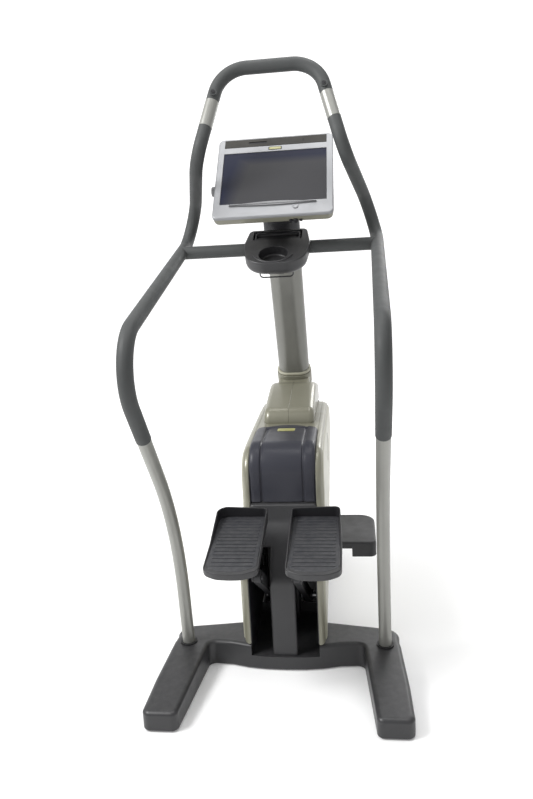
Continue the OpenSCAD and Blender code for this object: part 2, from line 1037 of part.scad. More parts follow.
module wire_hook() {
  wire = 4;
  drop = 26;
  color(black)
    tray_place()
      translate([0, -96, -tray_t]) {
        both_sides() {
          translate([58, 0, -drop]) cylinder(h = drop, d = wire);
          translate([58, 0, -drop]) sphere(d = wire);
        }
        translate([-58, 0, -drop]) rotate([0, 90, 0]) cylinder(h = 116, d = wire);
        translate([-28, -8, -10]) cube([56, 22, 10]);
      }
}

// ---------- console ----------

// Frame of the console: X across, Y up its front face, Z out of the face towards the user
module console_place() {
  translate([0, console_at.x, console_at.y])
    rotate([90 - console_lean, 0, 0])
      children();
}

module console_housing() {
  h = 2 * console_half;
  rim = 16;
  color(silver)
    console_place()
      difference() {
        hull() {
          translate([-console_x, -console_half, -34])
            linear_extrude(22) rounded_square([2 * console_x, h], rim);
          translate([-console_x + 24, -console_half + 26, -console_t])
            linear_extrude(4) rounded_square([2 * console_x - 48, h - 50], 24);
        }
        translate([-console_x + rim, -console_half + rim, -44])
          cube([2 * (console_x - rim), h - 2 * rim, 40]);
        translate([-console_x - 1, knob_at.x, knob_at.y])
          rotate([0, 90, 0]) cylinder(h = 12.5, d = knob_shaft_d + 2 * run_gap);
      }
}

module console_bezel() {
  h = 2 * console_half;
  color(silver)
    console_place() {
      difference() {
        translate([-console_x, -console_half, -12]) linear_extrude(12) rounded_square([2 * console_x, h], 16);
        translate([-screen_x, -132, -13]) cube([2 * screen_x, 250, 20]);
        translate([-screen_x, 146, -4]) cube([2 * screen_x, 34, 10]);
        translate([button_at.x, button_at.y, -13]) cylinder(h = 20, d = button_d + 0.6);
        translate([button_at.x, button_at.y, -13]) cylinder(h = 8, d = button_d + 10);
      }
      // The raised crescent under the screen
      difference() {
        translate([-152, -148, -1]) cube([304, 16, 7]);
        translate([0, 430, -2]) cylinder(h = 10, r = 564, $fn = 180);
      }
    }
}

module screen() {
  color(black)
    console_place()
      translate([-screen_x, -132, -14]) cube([2 * screen_x, 250, 11]);
}

module top_strip() {
  color(slate)
    console_place()
      difference() {
        translate([-screen_x, 146, -4]) cube([2 * screen_x, 34, 5]);
        translate([-97, 168, -2]) cube([66, 7, 10]);
      }
}

module badge_plates() {
  color(cream) {
    console_place() translate([-22, 126, 0]) cube([44, 14, 1]);
    translate([-33, 0, 0])
      across(0, 66)
        polygon([[108, 755.6], [140, 756.4], [140, 757.9], [108, 757.1]]);
  }
}

module console_button() {
  color(silver)
    console_place()
      translate([button_at.x, button_at.y, -7.4]) {
        cylinder(h = 10.4, d = button_d);
        cylinder(h = 2, d = button_d + 7);
      }
}

module volume_knob() {
  color(slate)
    console_place()
      translate([-console_x - 0.4, knob_at.x, knob_at.y])
        rotate([0, -90, 0]) {
          cylinder(h = 9, d = 22);
          translate([0, 0, -10]) cylinder(h = 11, d = knob_shaft_d);
        }
}

// ---------- side step ----------

module step_plan() {
  polygon(concat(
    [[165, -196]],
    arc([303, -180], 16, -90, 0, 4),
    arc([261, 4], 58, 0, 90, 8),
    [[165, 62]]
  ));
}

// A hollow platform, open below, with a notch at the inner front corner
module side_step() {
  step_h = 52;
  color(slate)
    difference() {
      translate([0, 0, step_top - step_h]) linear_extrude(step_h) step_plan();
      translate([0, 0, step_top - step_h - 1])
        linear_extrude(step_h + 1 - step_skin) offset(delta = -step_skin) step_plan();
      translate([160, -200, step_top - 60]) cube([78, 70, 37]);
      translate([160, -41, step_top - 60]) cube([14, 62, 43]);
    }
}

// The bracket from the mast out to the platform, and the bolt that shows in the notch
module side_step_mount() {
  under = step_top - step_skin;
  bolt = [215, -150];
  color(steel) {
    translate([mast_x[1], -40, 406]) cube([190 - mast_x[1], 60, 26]);
    translate([176, -170, under - 6]) cube([110, 200, 6]);
    translate([186, -40, 406]) cube([80, 60, under - 6 - 406]);
    translate([bolt.x, bolt.y, under - 20]) cylinder(h = 14, d = 10);
    translate([bolt.x, bolt.y, under - 24]) cylinder(h = 5, d = 17, $fn = 6);
  }
}

base_frame();
base_cover();
foot_pads();
wheel(-1);  // wheel_left
wheel(1);  // wheel_right
mast();
column();
column_collar();
neck();
head_bracket();
rail(-1);  // rail_left
rail(1);  // rail_right
rail_rings();
grip(-1);  // grip_left
grip(1);  // grip_right
grip_top();
sensor_plates();
toggle(-1);  // toggle_left
toggle(1);  // toggle_right
crossbar();
crossbar_sleeves();
tray();
wire_hook();
console_housing();
console_bezel();
screen();
top_strip();
badge_plates();
console_button();
volume_knob();
shell(-1);  // shell_left
shell(1);  // shell_right
side_panel(-1);  // side_panel_left
side_panel(1);  // side_panel_right
dash_panel();
strip_cover();
hump(-1);  // hump_left
hump(1);  // hump_right
nose_panel();
pivot_shaft();
arm(-1);  // arm_left
arm(1);  // arm_right
link(-1);  // link_left
link(1);  // link_right
pedal_bracket(-1);  // pedal_bracket_left
pedal_bracket(1);  // pedal_bracket_right
pedal(-1);  // pedal_left
pedal(1);  // pedal_right
drum(-1);  // clutch_left
drum(1);  // clutch_right
drive_wheel();
alternator();
rotor();
drive_belt();
return_unit(-1);  // return_left
return_unit(1);  // return_right
strap(-1);  // strap_left
strap(1);  // strap_right
side_step();
side_step_mount();
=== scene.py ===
"""Looks of a stair climber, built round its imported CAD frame. Lengths are in millimetres."""

import math

import bmesh
import bpy
from mathutils import Matrix, Vector


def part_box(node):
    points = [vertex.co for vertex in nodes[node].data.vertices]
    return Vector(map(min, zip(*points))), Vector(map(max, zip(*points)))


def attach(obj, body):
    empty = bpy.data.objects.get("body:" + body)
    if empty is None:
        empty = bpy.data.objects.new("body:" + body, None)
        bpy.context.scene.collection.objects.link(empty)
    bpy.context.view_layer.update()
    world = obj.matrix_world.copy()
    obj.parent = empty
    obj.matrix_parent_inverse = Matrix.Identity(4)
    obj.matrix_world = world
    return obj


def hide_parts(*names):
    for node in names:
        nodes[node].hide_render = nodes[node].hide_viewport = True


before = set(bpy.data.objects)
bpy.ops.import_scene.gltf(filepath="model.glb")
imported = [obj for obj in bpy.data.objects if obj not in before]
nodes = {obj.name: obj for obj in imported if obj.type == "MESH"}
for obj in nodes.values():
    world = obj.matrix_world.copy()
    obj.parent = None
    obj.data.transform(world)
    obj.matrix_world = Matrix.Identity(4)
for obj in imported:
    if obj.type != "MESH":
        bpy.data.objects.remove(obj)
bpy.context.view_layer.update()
MM = 0.001
SIDES = (("left", -1), ("right", 1))


# ---------- places taken from the frame ----------

def span(node):
    """Lowest and highest corner of a CAD node, in millimetres."""
    lo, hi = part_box(node)
    return lo / MM, hi / MM


def place(origin, x=(1, 0, 0), y=(0, 1, 0), z=(0, 0, 1)):
    """A frame from its origin and its three axes."""
    columns = [Vector(c).to_4d() for c in (x, y, z)]
    for c in columns:
        c.w = 0
    columns.append(Vector(origin).to_4d())
    return Matrix(columns).transposed()


def tilted(origin, degrees):
    """A frame turned about X: Y and Z lean together."""
    return Matrix.Translation(origin) @ Matrix.Rotation(math.radians(degrees), 4, "X")


FLAT = Matrix.Identity(4)
ACROSS = place((0, 0, 0), x=(0, 1, 0), y=(0, 0, 1), z=(1, 0, 0))   # outline in Y and Z, depth in X

BASE_LO, BASE_HI = span("base_cover")
SHELL_LO, SHELL_HI = span("shell_right")
DASH_LO, DASH_HI = span("dash_panel")
COLUMN_LEAN = 24.6
PEDAL_TILT = 10
TRAY_TILT = 30
CONSOLE_LEAN = 41.7
COLUMN = tilted((0, 610, 902), COLUMN_LEAN)
TRAY = tilted((0, 113.5, 1445), TRAY_TILT)
CONSOLE = tilted((0, 127, 1682), 90 - CONSOLE_LEAN)
PEDAL = tilted((0, -360, 516), PEDAL_TILT)


# ---------- outlines ----------

def arc(cx, cy, r, a0, a1, n=8):
    angles = [math.radians(a0 + (a1 - a0) * i / n) for i in range(n + 1)]
    return [(cx + r * math.cos(a), cy + r * math.sin(a)) for a in angles]


def oval(cx, cy, rx, ry, n=48):
    angles = [2 * math.pi * i / n for i in range(n)]
    return [(cx + rx * math.cos(a), cy + ry * math.sin(a)) for a in angles]


def rectangle(x0, y0, x1, y1, r=0, n=5):
    if r == 0:
        return [(x0, y0), (x1, y0), (x1, y1), (x0, y1)]
    return (arc(x1 - r, y0 + r, r, -90, 0, n) + arc(x1 - r, y1 - r, r, 0, 90, n)
            + arc(x0 + r, y1 - r, r, 90, 180, n) + arc(x0 + r, y0 + r, r, 180, 270, n))


def stadium(w, d, n=20):
    """An outline with straight front and back and round ends."""
    r, straight = d / 2, (w - d) / 2
    return arc(straight, 0, r, -90, 90, n) + arc(-straight, 0, r, 90, 270, n)


def rounded(points, radii, n=6):
    """A polygon whose corners are round: one radius for each corner."""
    out = []
    count = len(points)
    for i, (p, r) in enumerate(zip(points, radii)):
        p = Vector(p)
        a = (Vector(points[i - 1]) - p).normalized()
        b = (Vector(points[(i + 1) % count]) - p).normalized()
        if r == 0:
            out.append(tuple(p))
            continue
        half = a.angle(b) / 2
        start = p + a * r / math.tan(half)
        end = p + b * r / math.tan(half)
        centre = p + (a + b).normalized() * r / math.sin(half)
        u, v = start - centre, end - centre
        sweep = math.atan2(u.x * v.y - u.y * v.x, u.dot(v))
        for k in range(n + 1):
            t = sweep * k / n
            out.append((centre.x + u.x * math.cos(t) - u.y * math.sin(t),
                        centre.y + u.x * math.sin(t) + u.y * math.cos(t)))
    return out


def ease(t):
    """A smooth step from 0 to 1."""
    t = max(0.0, min(1.0, t))
    return t * t * (3 - 2 * t)


def anticlockwise(points):
    area = sum(a[0] * b[1] - a[1] * b[0] for a, b in zip(points, points[1:] + points[:1]))
    return points if area > 0 else points[::-1]


def drawn_in(points, d):
    """The outline moved inwards by d, point by point."""
    out = []
    count = len(points)
    for i, p in enumerate(points):
        q0, q1 = points[i - 1], points[(i + 1) % count]
        e0 = Vector((p[0] - q0[0], p[1] - q0[1])).normalized()
        e1 = Vector((q1[0] - p[0], q1[1] - p[1])).normalized()
        n0, n1 = Vector((-e0.y, e0.x)), Vector((-e1.y, e1.x))
        step = (n0 + n1) / max(0.3, 1 + n0.dot(n1))
        out.append((p[0] + step.x * d, p[1] + step.y * d))
    return out


def smoothed(points, rounds):
    """The path with its corners cut again and again, so that it bends softly."""
    for _ in range(rounds):
        pairs = list(zip(points, points[1:]))
        inner = [(a[0] + (b[0] - a[0]) * t, a[1] + (b[1] - a[1]) * t)
                 for a, b in pairs for t in (0.25, 0.75)]
        points = [points[0]] + inner + [points[-1]]
    return points


def mirrored(points):
    """The outline on the other side of the middle plane, in reverse order."""
    return [(-x, y) for x, y in reversed(points)]


# ---------- solids ----------

def solid(rings, tube=False):
    """A mesh through rings of points: capped at both ends, or as a tube joined end to end."""
    bm = bmesh.new()
    loops = [[bm.verts.new(p) for p in ring] for ring in rings]
    count = len(loops[0])
    pairs = list(zip(loops, loops[1:]))
    if tube:
        pairs.append((loops[-1], loops[0]))
    for a, b in pairs:
        for i in range(count):
            j = (i + 1) % count
            bm.faces.new((a[i], a[j], b[j], b[i]))
    if not tube:
        bm.faces.new(loops[0][::-1])
        bm.faces.new(loops[-1])
    bmesh.ops.recalc_face_normals(bm, faces=bm.faces)
    return bm


def slab(outline, low, high, where=FLAT, r_low=0, r_high=0, steps=5, shape=None):
    """An outline given depth from low to high, with rounded rims. A radius may be (inset, depth).
    shape(point) can move each point before it is placed."""
    outline = anticlockwise(list(outline))
    levels = []
    for radius, at, sign in ((r_low, low, 1), (r_high, high, -1)):
        inset, depth = radius if isinstance(radius, tuple) else (radius, radius)
        if inset == 0:
            part = [(0, at)]
        else:
            turns = [math.pi / 2 * k / steps for k in range(steps + 1)]
            part = [(inset * (1 - math.sin(t)), at + sign * depth * (1 - math.cos(t)))
                    for t in turns]
        levels += part if sign == 1 else part[::-1]
    rings = []
    for inset, w in levels:
        ring = [Vector((u, v, w)) for u, v in drawn_in(outline, inset)]
        rings.append([where @ (shape(p) if shape else p) for p in ring])
    return solid(rings)


def two_sided(half):
    """A section from its right half, which starts on the middle plane."""
    return [(-x, h) for x, h in reversed(half[1:])] + half


def swept(section, path):
    """A closed section of (x, height) points swept along a path of (y, z) points."""
    rings = []
    last = len(path) - 1
    for i, p in enumerate(path):
        a, b = Vector(path[max(0, i - 1)]), Vector(path[min(last, i + 1)])
        t = (b - a).normalized()
        n = Vector((-t.y, t.x))
        rings.append([Vector((x, p[0] + n.x * h, p[1] + n.y * h)) for x, h in section])
    return solid(rings)


def wire(path, r, n=12):
    """A round bar along a path of points, with rounded ends."""
    rings = []
    last = len(path) - 1
    side = None
    for i, p in enumerate(path):
        t = (Vector(path[min(last, i + 1)]) - Vector(path[max(0, i - 1)])).normalized()
        if side is None:
            side = t.orthogonal().normalized()
        side = (side - t * side.dot(t)).normalized()
        up = t.cross(side)
        for k, along in (((0.3, -0.9), (0.8, -0.5), (1, 0)) if i == 0 else
                         ((1, 0), (0.8, 0.5), (0.3, 0.9)) if i == last else ((1, 0),)):
            c = Vector(p) + t * along * r
            angles = [2 * math.pi * j / n for j in range(n)]
            rings.append([c + (side * math.cos(a) + up * math.sin(a)) * r * k for a in angles])
    return solid(rings)


def turned(profile, where, n=32):
    """A profile of (radius, height) points turned about the placed Z."""
    rings = []
    for r, z in profile:
        angles = [2 * math.pi * j / n for j in range(n)]
        rings.append([where @ Vector((r * math.cos(a), r * math.sin(a), z)) for a in angles])
    return solid(rings)


def bevel_sharp(bm, width, steps=2, test=lambda p: True):
    """Rounds the sharp edges whose middle passes the test."""
    edges = [e for e in bm.edges if len(e.link_faces) == 2
             and e.calc_face_angle(0) > math.radians(35)
             and test((e.verts[0].co + e.verts[1].co) / 2)]
    bmesh.ops.bevel(bm, geom=edges, offset=width, offset_type="OFFSET", segments=steps,
                    profile=0.5, affect="EDGES", clamp_overlap=True)
    return bm


def less(bm, *cutters):
    """Cuts the cutters out of a mesh."""
    objects = []
    for part in (bm, *cutters):
        mesh = bpy.data.meshes.new("part")
        part.to_mesh(mesh)
        part.free()
        objects.append(bpy.data.objects.new("part", mesh))
        bpy.context.scene.collection.objects.link(objects[-1])
    for cutter in objects[1:]:
        step = objects[0].modifiers.new("cut", "BOOLEAN")
        step.operation = "DIFFERENCE"
        step.solver = "EXACT"
        step.object = cutter
    graph = bpy.context.evaluated_depsgraph_get()
    out = bmesh.new()
    out.from_mesh(objects[0].evaluated_get(graph).to_mesh())
    for o in objects:
        mesh = o.data
        bpy.data.objects.remove(o)
        bpy.data.meshes.remove(mesh)
    bmesh.ops.remove_doubles(out, verts=out.verts, dist=0.01)
    bmesh.ops.dissolve_degenerate(out, edges=out.edges, dist=0.01)
    return out


def piece(name, bm, finish, replaces=(), body="frame", crease=38):
    """Makes an object of a mesh in millimetres, and lets it ride on a body."""
    mesh = bpy.data.meshes.new(name)
    bm.to_mesh(mesh)
    bm.free()
    mesh.transform(Matrix.Scale(MM, 4))
    mesh.shade_smooth()
    mesh.set_sharp_from_angle(angle=math.radians(crease))
    mesh.materials.append(finish)
    obj = bpy.data.objects.new(name, mesh)
    bpy.context.scene.collection.objects.link(obj)
    even = obj.modifiers.new("even", "WEIGHTED_NORMAL")
    even.keep_sharp = True
    even.weight = 50
    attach(obj, body)
    if replaces:
        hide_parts(*replaces)
    return obj


# ---------- finishes ----------

class Graph:
    """Short names for the nodes of a material."""

    def __init__(self, name):
        self.material = bpy.data.materials.new(name)
        self.material.use_nodes = True
        self.tree = self.material.node_tree
        self.shader = self.tree.nodes["Principled BSDF"]
        self.where = self.add("ShaderNodeTexCoord").outputs["Object"]

    def add(self, kind, **values):
        node = self.tree.nodes.new(kind)
        for key, value in values.items():
            setattr(node, key, value)
        return node

    def link(self, a, b):
        self.tree.links.new(a, b)

    def noise(self, scale, detail=4, stretch=(1, 1, 1), rough=0.55):
        where = self.add("ShaderNodeMapping")
        where.inputs["Scale"].default_value = stretch
        self.link(self.where, where.inputs["Vector"])
        node = self.add("ShaderNodeTexNoise")
        node.inputs["Scale"].default_value = scale
        node.inputs["Detail"].default_value = detail
        node.inputs["Roughness"].default_value = rough
        self.link(where.outputs["Vector"], node.inputs["Vector"])
        return node.outputs["Fac"]

    def remap(self, value, lo, hi, out_lo, out_hi):
        node = self.add("ShaderNodeMapRange")
        for key, v in (("From Min", lo), ("From Max", hi), ("To Min", out_lo), ("To Max", out_hi)):
            node.inputs[key].default_value = v
        self.link(value, node.inputs["Value"])
        return node.outputs["Result"]

    def mix(self, factor, a, b):
        node = self.add("ShaderNodeMix", data_type="RGBA")
        self.link(factor, node.inputs["Factor"])
        for socket, v in ((node.inputs[6], a), (node.inputs[7], b)):
            if isinstance(v, tuple):
                socket.default_value = (*v, 1)
            else:
                self.link(v, socket)
        return node.outputs[2]

    def bump(self, height, distance, strength=1.0, below=None):
        node = self.add("ShaderNodeBump")
        node.inputs["Distance"].default_value = distance
        node.inputs["Strength"].default_value = strength
        self.link(height, node.inputs["Height"])
        if below is not None:
            self.link(below, node.inputs["Normal"])
        return node.outputs["Normal"]


def shade(colour, k):
    """A colour made k times as bright."""
    return tuple(max(0.0, min(1.0, c * k)) for c in colour)


def finish(name, colour, rough, metal=0.0, mottle=0.12, grain=1400, depth=0.00004, dust=0.0,
           scuffs=0.0, coat=0.0, brushed=None, specular=0.5, orange_peel=0.0):
    """A solid finish with mottled colour, uneven gloss, a fine grain, faint scuffs and dust."""
    g = Graph(name)
    s = g.shader
    s.inputs["Metallic"].default_value = metal
    s.inputs["Specular IOR Level"].default_value = specular
    s.inputs["Coat Weight"].default_value = coat
    s.inputs["Coat Roughness"].default_value = 0.12
    blotch = g.noise(7, 5)
    base = g.mix(g.remap(blotch, 0.3, 0.7, 0, 1),
                 shade(colour, 1 - mottle), shade(colour, 1 + mottle))
    fine = g.noise(grain, 2, brushed or (1, 1, 1))
    base = g.mix(g.remap(fine, 0.2, 0.9, 0, 0.22), base, shade(colour, 0.62))
    gloss = g.remap(g.noise(23, 6), 0.25, 0.75, rough * 0.86, min(1, rough * 1.16))
    normal = g.bump(fine, depth)
    if orange_peel:
        normal = g.bump(g.noise(420, 1), orange_peel, below=normal)
    if scuffs:
        marks = g.noise(38, 8, (1, 5, 1.6), 0.72)
        mask = g.remap(marks, 0.63, 0.72, 0, scuffs)
        base = g.mix(mask, base, shade(colour, 1.7))
        normal = g.bump(marks, 0.00012, 0.35, below=normal)
    if dust:
        facing = g.add("ShaderNodeNewGeometry").outputs["Normal"]
        split = g.add("ShaderNodeSeparateXYZ")
        g.link(facing, split.inputs["Vector"])
        lies = g.remap(split.outputs["Z"], 0.55, 1.0, 0, 1)
        amount = g.add("ShaderNodeMath", operation="MULTIPLY")
        g.link(lies, amount.inputs[0])
        g.link(g.remap(g.noise(55, 7), 0.35, 0.75, 0, dust), amount.inputs[1])
        base = g.mix(amount.outputs["Value"], base, (0.42, 0.41, 0.39))
    g.link(base, s.inputs["Base Color"])
    g.link(gloss, s.inputs["Roughness"])
    g.link(normal, s.inputs["Normal"])
    return g.material


SLATE = (0.027, 0.027, 0.029)
slate = finish("slate_plastic", SLATE, 0.40, grain=1700, depth=0.00004, mottle=0.05, dust=0.04,
               scuffs=0.03)
slate_gloss = finish("dash_plastic", (0.036, 0.037, 0.047), 0.34, grain=1300, depth=0.00002,
                     mottle=0.04, scuffs=0.01, specular=0.22)
mat_rubber = finish("tread_plastic", (0.024, 0.025, 0.030), 0.38, grain=1100, depth=0.00005,
                    mottle=0.06, dust=0.07, scuffs=0.06)
step_plastic = finish("step_plastic", (0.030, 0.030, 0.031), 0.50, grain=1500, depth=0.00005,
                      mottle=0.05, scuffs=0.03, specular=0.3)
dark_lining = finish("dark_lining", (0.012, 0.012, 0.015), 0.50, grain=1700, depth=0.00004,
                     mottle=0.05)
strip_plastic = finish("strip_plastic", (0.040, 0.038, 0.034), 0.55, grain=1700, depth=0.00004,
                       mottle=0.04, specular=0.15)
champagne = finish("champagne_lacquer", (0.216, 0.210, 0.160), 0.34, metal=0.2, grain=2600,
                   depth=0.00001, mottle=0.04, coat=0.3, scuffs=0.02, orange_peel=0.00002)
# Painted shade: champagne at half brightness, for the shadowed band under the collar's ring.
collar_painted_shade = finish("collar_painted_shade", (0.105, 0.101, 0.072), 0.40, grain=1800, depth=0.00002,
                    mottle=0.05)
cream = finish("cream_plastic", (0.35, 0.342, 0.265), 0.38, grain=1800, depth=0.00002, mottle=0.03,
               dust=0.03, coat=0.1)
silver_paint = finish("silver_powder_coat", (0.29, 0.29, 0.27), 0.36, metal=0.4, grain=2400,
                      depth=0.00002, mottle=0.04, scuffs=0.04, orange_peel=0.00003)
column_paint = finish("column_powder_coat", (0.185, 0.185, 0.170), 0.34, metal=0.45, grain=2400,
                      depth=0.00002, mottle=0.04, scuffs=0.03, orange_peel=0.00003)
console_silver = finish("console_silver", (0.262, 0.266, 0.276), 0.42, metal=0.35, grain=2600,
                        depth=0.00001, mottle=0.03, coat=0.1)
crescent_silver = finish("crescent_silver", (0.165, 0.167, 0.172), 0.36, metal=0.3, grain=2600,
                         depth=0.00001, mottle=0.03)
console_back = finish("console_back", (0.215, 0.21, 0.165), 0.40, metal=0.2, grain=2000,
                      depth=0.00002, mottle=0.04)
foam_grip = finish("foam_grip", (0.052, 0.055, 0.055), 0.60, grain=1500, depth=0.00010, mottle=0.06,
                   scuffs=0.04, specular=0.35)
black_rubber = finish("black_rubber", (0.016, 0.016, 0.017), 0.62, grain=900, depth=0.00010)
black_plastic = finish("black_plastic", (0.010, 0.010, 0.012), 0.40, grain=1700, depth=0.00004)
dark_steel = finish("dark_powder_coat", (0.020, 0.020, 0.022), 0.50, metal=0.2, grain=1600,
                    depth=0.00005, scuffs=0.05, orange_peel=0.00004)
bare_steel = finish("bright_steel", (0.42, 0.43, 0.44), 0.30, metal=1.0, grain=900,
                    depth=0.00002, brushed=(1, 1, 14))
cast_alloy = finish("cast_alloy", (0.20, 0.205, 0.21), 0.50, metal=0.8, grain=700, depth=0.00018)
badge_plain = finish("badge_plain", (0.33, 0.32, 0.11), 0.34, grain=1500, depth=0.00001,
                     mottle=0.2, coat=0.3)
# Black for painted shade in the side slits, the dash's pin holes and the card slot, and the colour
# of the console's small mark.
painted_shade_and_mark_black = finish("shadow_black", (0.006, 0.006, 0.007), 0.7, grain=900, depth=0.00004)


def screen_finish(low, high, edge):
    """Dark glass over a display that is off: grey, with a bluer band along its top and left."""
    g = Graph("screen_glass")
    s = g.shader
    s.inputs["Specular IOR Level"].default_value = 0.10
    parts = g.add("ShaderNodeSeparateXYZ")
    g.link(g.where, parts.inputs["Vector"])
    up = g.remap(parts.outputs["Z"], low, high, 0, 1)
    slant = g.add("ShaderNodeMath", operation="MULTIPLY_ADD")
    g.link(up, slant.inputs[0])
    slant.inputs[1].default_value = -0.35 * edge
    g.link(parts.outputs["X"], slant.inputs[2])
    left = g.remap(slant.outputs["Value"], -1.05 * edge, -0.72 * edge, 1, 0)
    top = g.remap(up, 0.76, 0.90, 0, 1)
    blue = g.add("ShaderNodeMath", operation="MAXIMUM")
    g.link(left, blue.inputs[0])
    g.link(top, blue.inputs[1])
    smear = g.noise(9, 6, (1, 3, 1))
    grey = g.mix(smear, (0.033, 0.033, 0.036), (0.039, 0.039, 0.042))
    g.link(g.mix(blue.outputs["Value"], grey, (0.007, 0.009, 0.024)), s.inputs["Base Color"])
    g.link(g.remap(smear, 0.3, 0.75, 0.34, 0.42), s.inputs["Roughness"])
    g.link(g.bump(g.noise(500, 2), 0.000004), s.inputs["Normal"])
    return g.material


SCREEN_LO, SCREEN_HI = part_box("screen")
screen_glass = screen_finish(SCREEN_LO.z, SCREEN_HI.z, SCREEN_HI.x)

CAD_FINISHES = [
    (silver_paint, ["rail_left", "rail_right", "crossbar", "sensor_plates"]),
    (column_paint, ["column"]),
    (foam_grip, ["grip_left", "grip_right", "grip_top", "crossbar_sleeves"]),
    (black_rubber, ["foot_pads", "wheel_left", "wheel_right", "rail_rings", "drive_belt",
                    "strap_left", "strap_right"]),
    (black_plastic, ["toggle_left", "toggle_right", "return_left", "return_right", "wire_hook"]),
    (dark_steel, ["base_frame", "mast", "head_bracket", "arm_left", "arm_right", "link_left",
                  "link_right", "pedal_bracket_left", "pedal_bracket_right", "side_step_mount"]),
    (bare_steel, ["pivot_shaft", "clutch_left", "clutch_right", "rotor"]),
    (cast_alloy, ["drive_wheel", "alternator"]),
    (dark_lining, ["neck"]),
    (slate, ["nose_panel", "volume_knob", "tray", "pedal_left", "pedal_right",
             "base_cover", "dash_panel", "strip_cover"]),
    (strip_plastic, ["top_strip"]),
    (step_plastic, ["side_step"]),
    (champagne, ["shell_left", "shell_right", "hump_left", "hump_right"]),
    (cream, ["side_panel_left", "side_panel_right", "column_collar", "badge_plates"]),
    (console_silver, ["console_housing", "console_bezel", "console_button"]),
    (screen_glass, ["screen"]),
]
for look, names in CAD_FINISHES:
    for name in names:
        mesh = nodes[name].data
        mesh.materials.clear()
        mesh.materials.append(look)
        mesh.shade_smooth()
        mesh.set_sharp_from_angle(angle=math.radians(30))


# ---------- base ----------

BASE_TOP = BASE_HI.z
TIP_Y = BASE_LO.y
NOSE_Y = SHELL_HI.y
POCKET_X = 118
POCKET_Z = 52
SLOPE_Y = -262
TIP_DROP = 26
SPINE_X = 125
LEG_INNER_R, LEG_OUTER_R = 22, 26


def base_outline():
    """The floor frame from above: a cross beam, two legs and the spine under the casing."""
    half = (
        [(0, -254), (70, -252), (130, -244), (190, -228)]
        + arc(246, -250, 26, 90, 0, 6)
        + [(300, TIP_Y + LEG_INNER_R)]
        + arc(322, TIP_Y + LEG_INNER_R, LEG_INNER_R, 180, 270, 6)
        + arc(387, TIP_Y + LEG_OUTER_R, LEG_OUTER_R, 270, 355, 6)
        + [(408, -430), (394, -230)]
        + arc(334, -172, 58, -20, 80, 8)
        + [(SPINE_X, -76), (SPINE_X, NOSE_Y - 30)]
        + arc(SPINE_X - 30, NOSE_Y - 30, 28, 0, 90, 6)
        + [(0, NOSE_Y - 2)]
    )
    return half + mirrored(half[1:-1])


def sloped(p):
    """The legs' tops fall towards their tips."""
    fall = max(0.0, (SLOPE_Y - p.y) / (SLOPE_Y - TIP_Y)) * TIP_DROP
    rise = max(0.0, min(1.0, (p.z - 20) / (BASE_TOP - 34)))
    return Vector((p.x, p.y, p.z - fall * rise))


def base():
    """The base moulding, with the pocket for the pedal arms cut into it."""
    body = slab(base_outline(), BASE_LO.z, BASE_TOP, r_low=4, r_high=(15, 12), steps=6,
                shape=sloped)
    bmesh.ops.bisect_plane(body, geom=body.verts[:] + body.edges[:] + body.faces[:],
                           plane_co=(0, SLOPE_Y, 0), plane_no=(0, 1, 0))
    body = less(body, slab(rectangle(-POCKET_X, -300, POCKET_X, 60, 2), POCKET_Z, 200))
    bevel_sharp(body, 3, 3, lambda p: abs(p.x) < POCKET_X + 1 and p.z > POCKET_Z - 1)
    piece("base_moulding", body, slate, ["base_cover"])


base()


# ---------- casing ----------

SHELL_IN, SHELL_OUT = SHELL_LO.x, SHELL_HI.x
APRON_Y, CASE_BOTTOM, CASE_TOP = SHELL_LO.y, SHELL_LO.z, SHELL_HI.z
APRON_TOP = 330
TAPER = 17
SLIT = [(300, 700), (344, 645), (300, 588)]
SLOPE_END = (-98, 522)
PANEL_OUT = span("side_panel_right")[1].x
CREST = [(25, CASE_TOP - 25), (56, CASE_TOP - 21.5), (199, CASE_TOP - 13), (354, CASE_TOP - 6),
         (478, CASE_TOP)]


def case_outline():
    """The side of the casing: its top falls a little towards the user."""
    low = rounded([(APRON_Y, CASE_BOTTOM), (APRON_Y, APRON_TOP), SLOPE_END, (-94, 560)],
                  [0, 60, 26, 0], 5)
    return (low + arc(12, CASE_TOP - 132, 105, 180, 100, 12) + CREST
            + arc(NOSE_Y - 120, CASE_TOP - 120, 120, 90, 0, 14) + [(NOSE_Y, CASE_BOTTOM)])


def casing():
    """On each side a shell, its dark lining, and the outer panel with a bowed slit, drawn as a
    black bar of painted shade.
    """
    outline = case_outline()
    root = SHELL_IN - 3
    rim = PANEL_OUT - SHELL_OUT

    def tapered(p):
        """The far lower corner draws in towards the middle."""
        pull = TAPER * ease((p.x - 330) / 350) * ease((520 - p.y) / 420)
        return Vector((p.x, p.y, p.z - pull * max(0.0, p.z - root) / (SHELL_OUT - root)))

    for side, s in SIDES:
        flip = Matrix.Scale(s, 4, (1, 0, 0)) @ ACROSS
        shell = slab(outline, root + 2, SHELL_OUT, flip, r_low=4, r_high=(15, 17), steps=7,
                     shape=tapered)
        piece("shell_moulding_" + side, shell, champagne, ["shell_" + side])
        lining = slab(drawn_in(anticlockwise(outline), 2), root, root + 4, flip, shape=tapered)
        piece("shell_lining_" + side, lining, dark_lining)
        panel = slab(drawn_in(anticlockwise(outline), 13), SHELL_OUT - 6, PANEL_OUT, flip,
                     r_high=(rim + 8, rim + 2), steps=6, shape=tapered)
        piece("side_cover_" + side, panel, cream, ["side_panel_" + side])
        # The slit is a black bar on the panel: painted shade of the opening.
        path = [Vector((s * (PANEL_OUT - 1.6), y, z)) for y, z in smoothed(SLIT, 4)]
        piece("side_slit_" + side, wire(path, 2.4, 10), painted_shade_and_mark_black)


casing()


DASH_HALF = DASH_HI.x - 0.5
DASH_BOW = 48
BOW_DEPTH = 50
ROUND_Z = 655
SEAM_Z = 557
PIN_Z = 702


